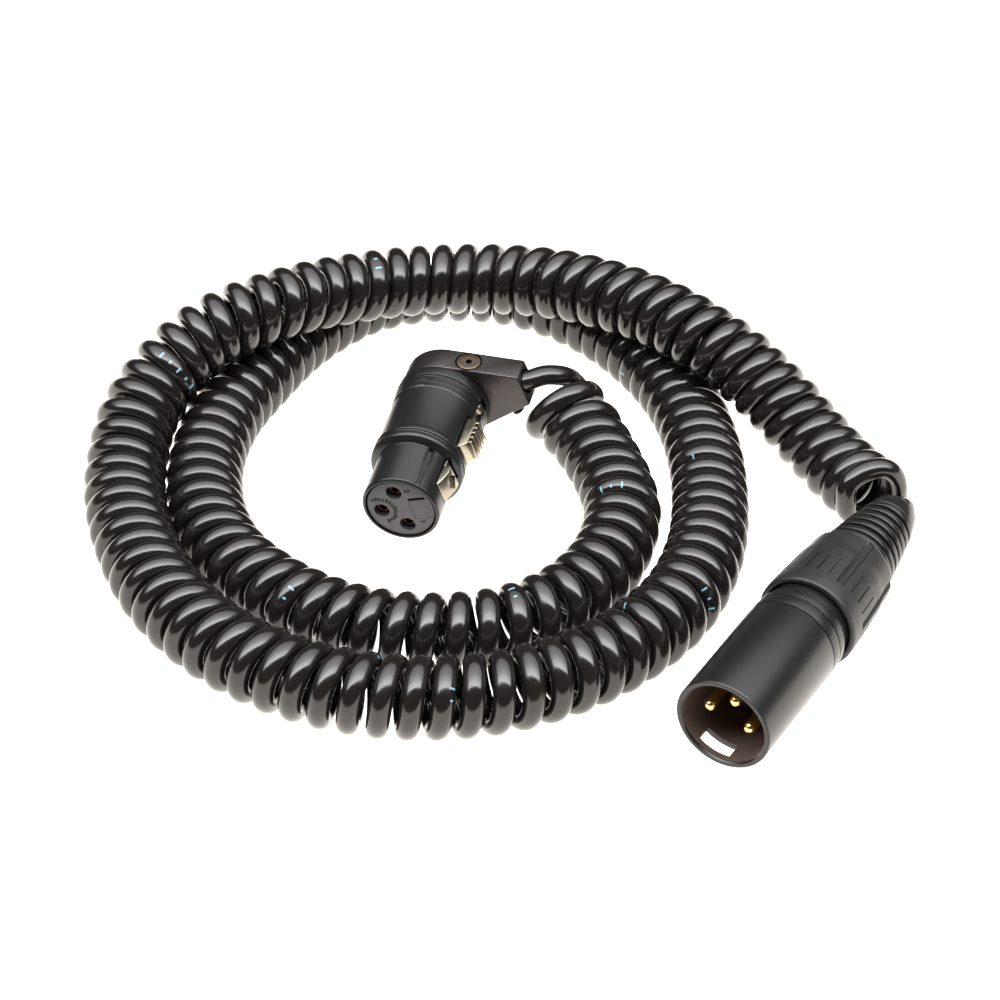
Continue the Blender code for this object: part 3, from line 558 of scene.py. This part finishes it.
def female_insert():
    """Insulator with three holes, a flat under the latch, a slot and fine lines in its face."""
    profile = [(6.6, 0.3), (6.8, 0.36), (6.85, 0.5), (6.85, 22.0)]
    insert = capped("female_insert_fine", profile)
    holes = []
    for number, angle in F_HOLES.items():
        x, y = on_circle(F_CIRCLE, angle)
        holes.append(rod("hole_" + number, F_HOLE_R, (x, y, -1.0), (x, y, 23.0)))
    cuts = [box("latch_flat", (5.3, -2.75, 2.0), (8.0, 2.75, 23.0)),
            box("face_slot", (2.3, 1.65, -1.0), (5.9, 2.3, 2.2)),
            box("line_a", (2.2, -2.98, -1.0), (5.95, -2.90, 0.42)),
            box("line_b", (2.16, -2.95, -1.0), (2.24, 1.8, 0.42)),
            box("line_c", (5.1, -2.95, -1.0), (5.18, -1.2, 0.42))]
    combine(insert, [*holes, *[spun(cut, LATCH_ANGLE) for cut in cuts]])
    return mount(insert, FEMALE, insert_grey(), "insert_plastic", "female_insert")


def female_face_marks():
    """Hole numbers and a curved row of small marks, standing just proud of the insert's face."""
    marks = face_number("1", *on_circle(5.1, -30.0), 1.5)
    marks.name = "female_face_marks"
    others = [face_number("2", *on_circle(5.1, 74.0), 1.7), face_number("3", *on_circle(5.7, 168.0), 1.3)]
    x, y = on_circle(F_CIRCLE, F_HOLES["3"])
    for index in range(13):
        bar = box("bar_%d" % index, (2.5, -0.22, 0.22), (3.35 - 0.16 * (index % 3), 0.2, 0.36))
        spun(bar, 112.0 - 14.5 * index)
        bar.data.transform(Matrix.Translation(local_point(x, y, 0.0)))
        others.append(bar)
    merge(marks, others)
    return mount(marks, FEMALE, mark_dark(), "insert_plastic")


def side_on(depth, rho, lam):
    """Outline drawn in the latch's side view."""
    return rho, lam, depth


def latch_lever():
    """Sprung lever: a hook with a diamond hole, a thumb pad with slanted ribs, a tongue and an eye."""
    hook = prism("latch_lever_fine", [(4.1, 7.35), (9.3, 7.35), (9.3, 9.05), (8.6, 9.3), (7.2, 9.2),
                                      (5.8, 8.6), (4.3, 7.9), (4.0, 7.6)], -2.3, 2.3, side_on)
    round_edges(hook, 0.18)
    combine(hook, [rod("diamond", 1.75, (8.6, 0.0, 7.1), (10.5, 0.0, 7.1), 4)])
    strip = round_edges(prism("strip", [(8.0, 7.2), (24.0, 7.2), (24.0, 7.9), (8.0, 7.9)], -2.2, 2.2,
                              side_on), 0.08)
    pad = round_edges(prism("pad", [(15.1, 7.4), (23.9, 7.4), (23.9, 8.6), (23.1, 10.0), (22.8, 10.9),
                                    (15.9, 10.7), (15.2, 9.6)], -2.3, 2.3, side_on), 0.2)
    ribs = [round_edges(prism("rib", [(start, 10.2), (start + 0.7, 10.2), (start + 0.4, 11.65),
                                      (start - 0.2, 11.6)], -2.25, 2.25, side_on), 0.14)
            for start in np.linspace(16.2, 21.9, 5)]
    tongue = round_edges(prism("tongue", [(23.5, 7.5), (28.6, 7.6), (28.6, 8.6), (26.0, 8.9), (23.5, 9.4)],
                               -0.85, 0.85, side_on), 0.12)
    ring = combine(rod("ring", 1.3, (HINGE_RHO, -0.9, HINGE_DEPTH), (HINGE_RHO, 0.9, HINGE_DEPTH)),
                   [rod("ring_bore", 0.75, (HINGE_RHO, -2.0, HINGE_DEPTH), (HINGE_RHO, 2.0, HINGE_DEPTH))])
    merge(hook, [strip, pad, *ribs, tongue, round_edges(ring, 0.12)])
    return mount(hook, LATCH, nickel(), "nickel", "latch_lever", body="latch")


def latch_pin():
    """Hinge pin across the shell."""
    pin = rod("latch_pin_fine", 0.5, (HINGE_RHO, -2.75, HINGE_DEPTH), (HINGE_RHO, 2.75, HINGE_DEPTH))
    round_edges(pin, 0.12)
    return mount(pin, LATCH, nickel(), "nickel", "latch_pin")


def elbow_block():
    """Rear plate whose rounded part covers the shell and whose straight part holds the cord."""
    arc = [on_circle(B_R, angle) for angle in np.linspace(90.0, 308.8, 73)]
    outline = [*arc, (18.1, 2.6), (15.6, B_TOP)]
    block = prism("elbow_block_fine", outline, B_FRONT, B_BACK, face_on)
    round_edges(block, 0.4, 3, 40.0)
    out = Vector((B_OUT[0], B_OUT[1]))
    cord_in, cord_out = Vector(B_EXIT) - 12.5 * out, Vector(B_EXIT) + 3.0 * out
    deep = Vector(CLAMP_AT) - 3.4 * Vector(CLAMP_NORMAL)
    over = Vector(CLAMP_AT) + Vector(CLAMP_NORMAL)
    combine(block, [
        rod("recess", 7.0, (0.0, 0.0, B_FRONT - 1.0), (0.0, 0.0, B_FRONT + 3.8)),
        rod("cord_bore", 2.55, (*cord_in, B_MID), (*cord_out, B_MID)),
        rod("head_seat", 2.75, (SCREW_X, B_TOP - 1.2, B_MID), (SCREW_X, B_TOP + 1.0, B_MID)),
        rod("shank_hole", 1.5, (SCREW_X, 4.0, B_MID), (SCREW_X, B_TOP - 0.5, B_MID)),
        rod("clamp_hole", 1.0, (*deep, B_MID), (*over, B_MID))])
    return mount(block, FEMALE, brushed_block(), "block_metal", "elbow_block")


def screw_piece(name, at, normal, head_r, socket_r, head, foot, tip):
    """Round-headed screw with a dished rim and a hexagon socket."""
    def along(distance):
        return (at[0] + distance * normal[0], at[1] + distance * normal[1], B_MID)
    screw = round_edges(rod(name, head_r, along(foot), along(head)), 0.18, 3, 40.0)
    combine(screw, [rod("shank", 0.49 * head_r, along(tip), along(foot + 0.2))], "UNION")
    dish = rod("dish", 0.74 * head_r, along(head - 0.15), along(head + 1.0))
    socket = rod("socket", socket_r, along(0.8 * tip), along(head + 1.0), 6)
    return combine(screw, [dish, socket])


def elbow_screw():
    """Large screw in the top of the block."""
    screw = screw_piece("elbow_screw_fine", (SCREW_X, B_TOP), (0.0, 1.0), 2.45, 0.7, 0.1, -0.9, -4.8)
    return mount(screw, FEMALE, bronze_steel(), "screw_steel", "elbow_screw")


def clamp_screw():
    """Small screw in the block's slanted end, which holds the cord."""
    screw = screw_piece("clamp_screw_fine", CLAMP_AT, CLAMP_NORMAL, 1.3, 0.55, 0.95, 0.3, -3.0)
    return mount(screw, FEMALE, shell_black(), "black_metal", "clamp_screw")


# ---------------------------------------------------------------- male connector

M_CIRCLE, M_PIN_R = 4.2, 1.18
M_PINS = {"1": -14.0, "2": 166.0, "3": 76.0}
# The latch window's corners (radius, across, depth), and its angle round the axis.
WINDOW_LOW, WINDOW_HIGH, WINDOW_ANGLE = (7.0, -3.2, 1.6), (11.0, 3.2, 5.0), -106.5
NOTCHES, FIRST_NOTCH = 6, 62.0
# Depth and radius of each rib.
BOOT_RIBS = ((55.9, 7.5), (58.4, 7.1), (60.7, 6.75), (62.8, 6.4), (65.1, 6.0), (67.5, 5.6))


def male_shell():
    """Tube with a rounded rim, a latch window and two fine grooves at its rear."""
    outer = [(9.15, 0.0), (9.38, 0.06), (9.5, 0.3), (9.5, 26.2), (9.15, 26.25), (9.15, 26.55),
             (9.42, 26.6), (9.42, 28.9), (9.05, 28.95), (9.05, 29.3), (9.3, 29.35), (9.25, 31.1),
             (8.6, 31.5), (8.6, 38.0)]
    inner = [(7.2, 38.0), (7.2, 26.6), (8.35, 26.6), (8.35, 0.4), (8.6, 0.0)]
    shell = turned("male_shell_fine", softened(outer + inner, 0.05))
    combine(shell, [spun(box("window", WINDOW_LOW, WINDOW_HIGH), WINDOW_ANGLE)])
    return mount(shell, MALE, shell_black(), "black_metal", "male_shell")


def male_liner():
    """Thin insulating sleeve inside the mouth."""
    liner = turned("male_liner", [(8.34, 0.5), (8.34, 13.95), (8.27, 13.95), (8.27, 0.5)])
    combine(liner, [spun(box("liner_window", WINDOW_LOW, WINDOW_HIGH), WINDOW_ANGLE)])
    return mount(liner, MALE, insert_brown(), "insert_plastic")


def male_insert():
    """Insulator with a raised collar round each pin."""
    insert = capped("male_insert_fine", [(7.8, 14.0), (8.0, 14.08), (8.05, 14.3), (8.05, 26.0)])
    ring = [(2.1, 13.7), (2.2, 14.1), (1.45, 14.1), (1.45, 13.7)]
    tools, collars = [], []
    for number, angle in M_PINS.items():
        x, y = on_circle(M_CIRCLE, angle)
        tools.append(rod("pin_hole_" + number, 1.45, (x, y, 13.0), (x, y, 27.0)))
        collar = turned("collar_" + number, softened(ring, 0.05), STEPS_SMALL)
        collar.data.transform(Matrix.Translation(local_point(x, y, 0.0)))
        collars.append(collar)
    combine(insert, tools)
    merge(insert, collars)
    return mount(insert, MALE, insert_brown(), "insert_plastic", "male_insert")


def male_pin(number, angle):
    """Pin with a domed tip."""
    dome = [(M_PIN_R * math.sin(a), 2.0 + M_PIN_R * (1.0 - math.cos(a)))
            for a in np.radians((6.0, 18.0, 32.0, 46.0, 60.0, 75.0, 90.0))]
    pin = capped("male_pin_%s_fine" % number, [*dome, (M_PIN_R, 28.8), (M_PIN_R - 0.2, 29.0)], STEPS_SMALL)
    pin.data.transform(Matrix.Translation(local_point(*on_circle(M_CIRCLE, angle), 0.0)))
    return mount(pin, MALE, gold(), "gold", "male_pin_" + number)


def male_bushing():
    """Clamping nut with open notches towards its rear and short grip marks between them."""
    outer = [(9.5, 33.7), (9.85, 33.9), (9.95, 34.3), (9.95, 36.0), (9.7, 40.5), (9.3, 46.5),
             (8.95, 48.6), (8.7, 52.3), (8.3, 53.0)]
    inner = [(6.8, 53.0), (6.8, 38.3), (8.9, 38.3), (8.9, 33.7)]
    bushing = turned("male_bushing_fine", softened(outer + inner, 0.25))
    tools = []
    for index in range(NOTCHES):
        turn = 360.0 / NOTCHES * index + FIRST_NOTCH
        tools.append(spun(rod("notch_%d" % index, 0.95, (10.15, 0.0, 37.5), (8.75, 0.0, 54.5), 24), turn))
        for offset in (16.0, 30.0, 44.0):
            mark = sector("mark_%d_%d" % (index, offset), (9.28, 11.0), (38.0, 43.5), (-0.9, 0.9), 2)
            tools.append(spun(mark, turn + offset))
    combine(bushing, tools)
    return mount(bushing, MALE, bushing_plastic(), "bushing_plastic", "male_bushing")


def male_boot():
    """Flexible strain relief with ribs that get smaller towards its end."""
    outer = [(6.3, 47.0), (6.3, 53.3), (7.9, 53.3), (7.9, 54.3), (7.1, 54.5)]
    for depth, radius in BOOT_RIBS:
        outer += [(radius - 1.5, depth - 0.75), (radius, depth - 0.55), (radius, depth + 0.55),
                  (radius - 1.55, depth + 0.75)]
    outer += [(5.2, 68.7), (4.9, 70.5), (4.5, 72.2), (3.6, 73.0), (2.55, 73.0), (2.55, 47.0)]
    boot = turned("male_boot_fine", softened(outer, 0.14))
    return mount(boot, MALE, boot_rubber(), "boot_rubber", "male_boot")


# ---------------------------------------------------------------- materials

def new_material(name, colour, roughness, metallic=0.0):
    """Plain material, with its node tree and shader."""
    mat = bpy.data.materials.new(name)
    mat.use_nodes = True
    shader = mat.node_tree.nodes["Principled BSDF"]
    shader.inputs["Base Color"].default_value = (*colour, 1.0)
    shader.inputs["Roughness"].default_value = roughness
    shader.inputs["Metallic"].default_value = metallic
    return mat, mat.node_tree, shader


def noise(tree, scale, detail=4.0, stretch=None):
    """Noise in the object's own metres."""
    where = tree.nodes.new("ShaderNodeTexCoord")
    source = where.outputs["Object"]
    if stretch:
        mapping = tree.nodes.new("ShaderNodeMapping")
        mapping.inputs["Scale"].default_value = stretch
        tree.links.new(source, mapping.inputs["Vector"])
        source = mapping.outputs["Vector"]
    node = tree.nodes.new("ShaderNodeTexNoise")
    node.inputs["Scale"].default_value = scale
    node.inputs["Detail"].default_value = detail
    tree.links.new(source, node.inputs["Vector"])
    return node.outputs["Fac"]


def spread(tree, value, low, high):
    """Map a 0..1 value to a range."""
    node = tree.nodes.new("ShaderNodeMapRange")
    node.inputs["From Min"].default_value = 0.3
    node.inputs["From Max"].default_value = 0.7
    node.inputs["To Min"].default_value = low
    node.inputs["To Max"].default_value = high
    tree.links.new(value, node.inputs["Value"])
    return node.outputs["Result"]


def tint(tree, value, dark, light):
    """Blend two colours by a 0..1 value."""
    node = tree.nodes.new("ShaderNodeMix")
    node.data_type = "RGBA"
    node.inputs["A"].default_value = (*dark, 1.0)
    node.inputs["B"].default_value = (*light, 1.0)
    tree.links.new(value, node.inputs["Factor"])
    return node.outputs["Result"]


def bump(tree, shader, value, distance, strength):
    """Let a 0..1 value raise the surface by up to a distance in metres."""
    node = tree.nodes.new("ShaderNodeBump")
    node.inputs["Distance"].default_value = distance
    node.inputs["Strength"].default_value = strength
    tree.links.new(value, node.inputs["Height"])
    tree.links.new(node.outputs["Normal"], shader.inputs["Normal"])


def cord_material():
    """Glossy black jacket, a little uneven."""
    mat, tree, shader = new_material("cord_jacket", (0.006, 0.0052, 0.005), 0.14)
    patch = noise(tree, 160.0, 3.0)
    tree.links.new(tint(tree, patch, (0.0045, 0.004, 0.0038), (0.008, 0.0066, 0.006)),
                   shader.inputs["Base Color"])
    tree.links.new(spread(tree, noise(tree, 420.0, 5.0), 0.14, 0.21), shader.inputs["Roughness"])
    bump(tree, shader, noise(tree, 900.0, 2.0), 0.00002, 0.25)
    shader.inputs["IOR"].default_value = 1.5
    return mat


def varied(name, dark, light, rough, metallic=0.0, grain=(1800.0, 0.00001), stretch=None, specular=0.5):
    """Material whose colour and finish change a little over the surface, with a fine grain."""
    mat, tree, shader = new_material(name, dark, rough[0], metallic)
    tree.links.new(tint(tree, noise(tree, 220.0, 3.0), dark, light), shader.inputs["Base Color"])
    tree.links.new(spread(tree, noise(tree, 500.0, 4.0, stretch), *rough), shader.inputs["Roughness"])
    bump(tree, shader, noise(tree, grain[0], 2.0, stretch), grain[1], 0.4)
    shader.inputs["Specular IOR Level"].default_value = specular
    return mat


def print_ink():
    """Pale blue ink."""
    return varied("print_ink", (0.09, 0.2, 0.26), (0.16, 0.32, 0.4), (0.3, 0.45))


def shell_black():
    """Satin black coating."""
    return varied("shell_black", (0.0045, 0.0045, 0.0048), (0.007, 0.007, 0.0075), (0.29, 0.31),
                  grain=(3600.0, 0.0000005), specular=0.38)


def insert_grey():
    return varied("insert_grey", (0.022, 0.022, 0.025), (0.031, 0.031, 0.035), (0.48, 0.6))


def insert_brown():
    return varied("insert_brown", (0.05, 0.033, 0.026), (0.074, 0.05, 0.042), (0.5, 0.62),
                  specular=0.3)


def mark_dark():
    return varied("mark_dark", (0.004, 0.004, 0.0042), (0.007, 0.007, 0.0075), (0.5, 0.6), specular=0.15)


def nickel():
    """Warm nickel plating."""
    return varied("nickel", (0.29, 0.258, 0.2), (0.38, 0.342, 0.272), (0.24, 0.32), 1.0)


def brushed_block():
    """Dark anodised metal brushed across its thickness."""
    return varied("brushed_block", (0.036, 0.031, 0.031), (0.058, 0.051, 0.051), (0.28, 0.4), 0.85,
                  (900.0, 0.00001), (1.0, 1.0, 12.0))


def bronze_steel():
    return varied("bronze_steel", (0.085, 0.065, 0.05), (0.13, 0.1, 0.078), (0.25, 0.38), 1.0)


def gold():
    return varied("gold", (0.82, 0.52, 0.18), (0.9, 0.62, 0.26), (0.14, 0.26), 1.0)


def contact_bronze():
    return varied("contact_bronze", (0.06, 0.027, 0.017), (0.1, 0.045, 0.028), (0.4, 0.5), 1.0)


def bushing_plastic():
    return varied("bushing_plastic", (0.007, 0.007, 0.0073), (0.0105, 0.0105, 0.011), (0.38, 0.48),
                  specular=0.4)


def boot_rubber():
    return varied("boot_rubber", (0.006, 0.0056, 0.0054), (0.0095, 0.0088, 0.0085), (0.2, 0.3))


def copper():
    return varied("copper", (0.55, 0.32, 0.2), (0.7, 0.45, 0.3), (0.3, 0.42), 1.0)


def wire_red():
    return varied("wire_red", (0.4, 0.02, 0.015), (0.5, 0.03, 0.02), (0.35, 0.5))


def wire_white():
    return varied("wire_white", (0.66, 0.65, 0.6), (0.75, 0.74, 0.7), (0.35, 0.5))


def finish_cad_nodes():
    """Finishes of the small inner parts that are shown as the frame has them."""
    looks = ((contact_bronze(), ("female_contact_1", "female_contact_2", "female_contact_3")),
             (copper(), ("female_wire_1", "male_wire_1")), (wire_red(), ("female_wire_2", "male_wire_2")),
             (wire_white(), ("female_wire_3", "male_wire_3")), (nickel(), ("latch_spring",)),
             (bushing_plastic(), ("male_chuck",)))
    for mat, nodes in looks:
        for node in nodes:
            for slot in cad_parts[node].material_slots:
                slot.material = mat


# ---------------------------------------------------------------- floor and light

FLOOR_HALF = 1.5


def make_floor():
    """White table, lit from within so that it shows no shadows."""
    floor = mesh_object("floor", [(-FLOOR_HALF, -FLOOR_HALF, 0.0), (FLOOR_HALF, -FLOOR_HALF, 0.0),
                                  (FLOOR_HALF, FLOOR_HALF, 0.0), (-FLOOR_HALF, FLOOR_HALF, 0.0)],
                        [(0, 1, 2, 3)])
    mat, _, shader = new_material("floor", (0.12, 0.12, 0.12), 0.6)
    shader.inputs["Emission Color"].default_value = (1.0, 0.94, 0.86, 1.0)
    shader.inputs["Emission Strength"].default_value = 2.4
    floor.data.materials.append(mat)


def softbox(name, place, size, power):
    """Softbox facing straight down, brightest along its front edge and fading to its back and sides."""
    data = bpy.data.lights.new(name, "AREA")
    data.shape = "RECTANGLE"
    data.size, data.size_y = size
    data.energy = power
    data.use_nodes = True
    tree = data.node_tree
    where = tree.nodes.new("ShaderNodeNewGeometry")
    split = tree.nodes.new("ShaderNodeSeparateXYZ")
    tree.links.new(where.outputs["Parametric"], split.inputs["Vector"])
    depth = faded(tree, split.outputs["Y"], ((0.0, 1.0), (0.08, 0.9), (0.4, 0.25), (1.0, 0.08)))
    width = faded(tree, split.outputs["X"], ((0.0, 0.0), (0.2, 1.0), (0.8, 1.0), (1.0, 0.0)))
    both = tree.nodes.new("ShaderNodeMath")
    both.operation = "MULTIPLY"
    tree.links.new(depth, both.inputs[0])
    tree.links.new(width, both.inputs[1])
    tree.links.new(both.outputs["Value"], tree.nodes["Emission"].inputs["Strength"])
    light = bpy.data.objects.new(name, data)
    light.location = coil_point(*place)
    bpy.context.scene.collection.objects.link(light)


def faded(tree, value, stops):
    """Grey ramp through (position, level) stops."""
    ramp = tree.nodes.new("ShaderNodeValToRGB")
    ramp.color_ramp.interpolation = "B_SPLINE"
    elements = ramp.color_ramp.elements
    while len(elements) < len(stops):
        elements.new(0.5)
    for element, (position, level) in zip(elements, stops):
        element.position = position
        element.color = (level, level, level, 1.0)
    tree.links.new(value, ramp.inputs["Fac"])
    return ramp.outputs["Color"]


def make_light():
    """One large softbox and a dim even surrounding."""
    softbox("softbox", (0.0, 150.0, 800.0), (3.0, 1.2), 200.0)
    world = bpy.data.worlds.new("studio")
    world.use_nodes = True
    world.node_tree.nodes["Background"].inputs["Color"].default_value = (1.0, 1.0, 1.0, 1.0)
    world.node_tree.nodes["Background"].inputs["Strength"].default_value = 0.06
    bpy.context.scene.world = world


make_camera()
female_shell()
female_insert()
female_face_marks()
latch_lever()
latch_pin()
elbow_block()
elbow_screw()
clamp_screw()
male_shell()
male_liner()
male_insert()
for number, angle in M_PINS.items():
    male_pin(number, angle)
male_bushing()
make_cord(male_boot())
finish_cad_nodes()
make_floor()
make_light()
bpy.context.scene.view_settings.view_transform = "Standard"
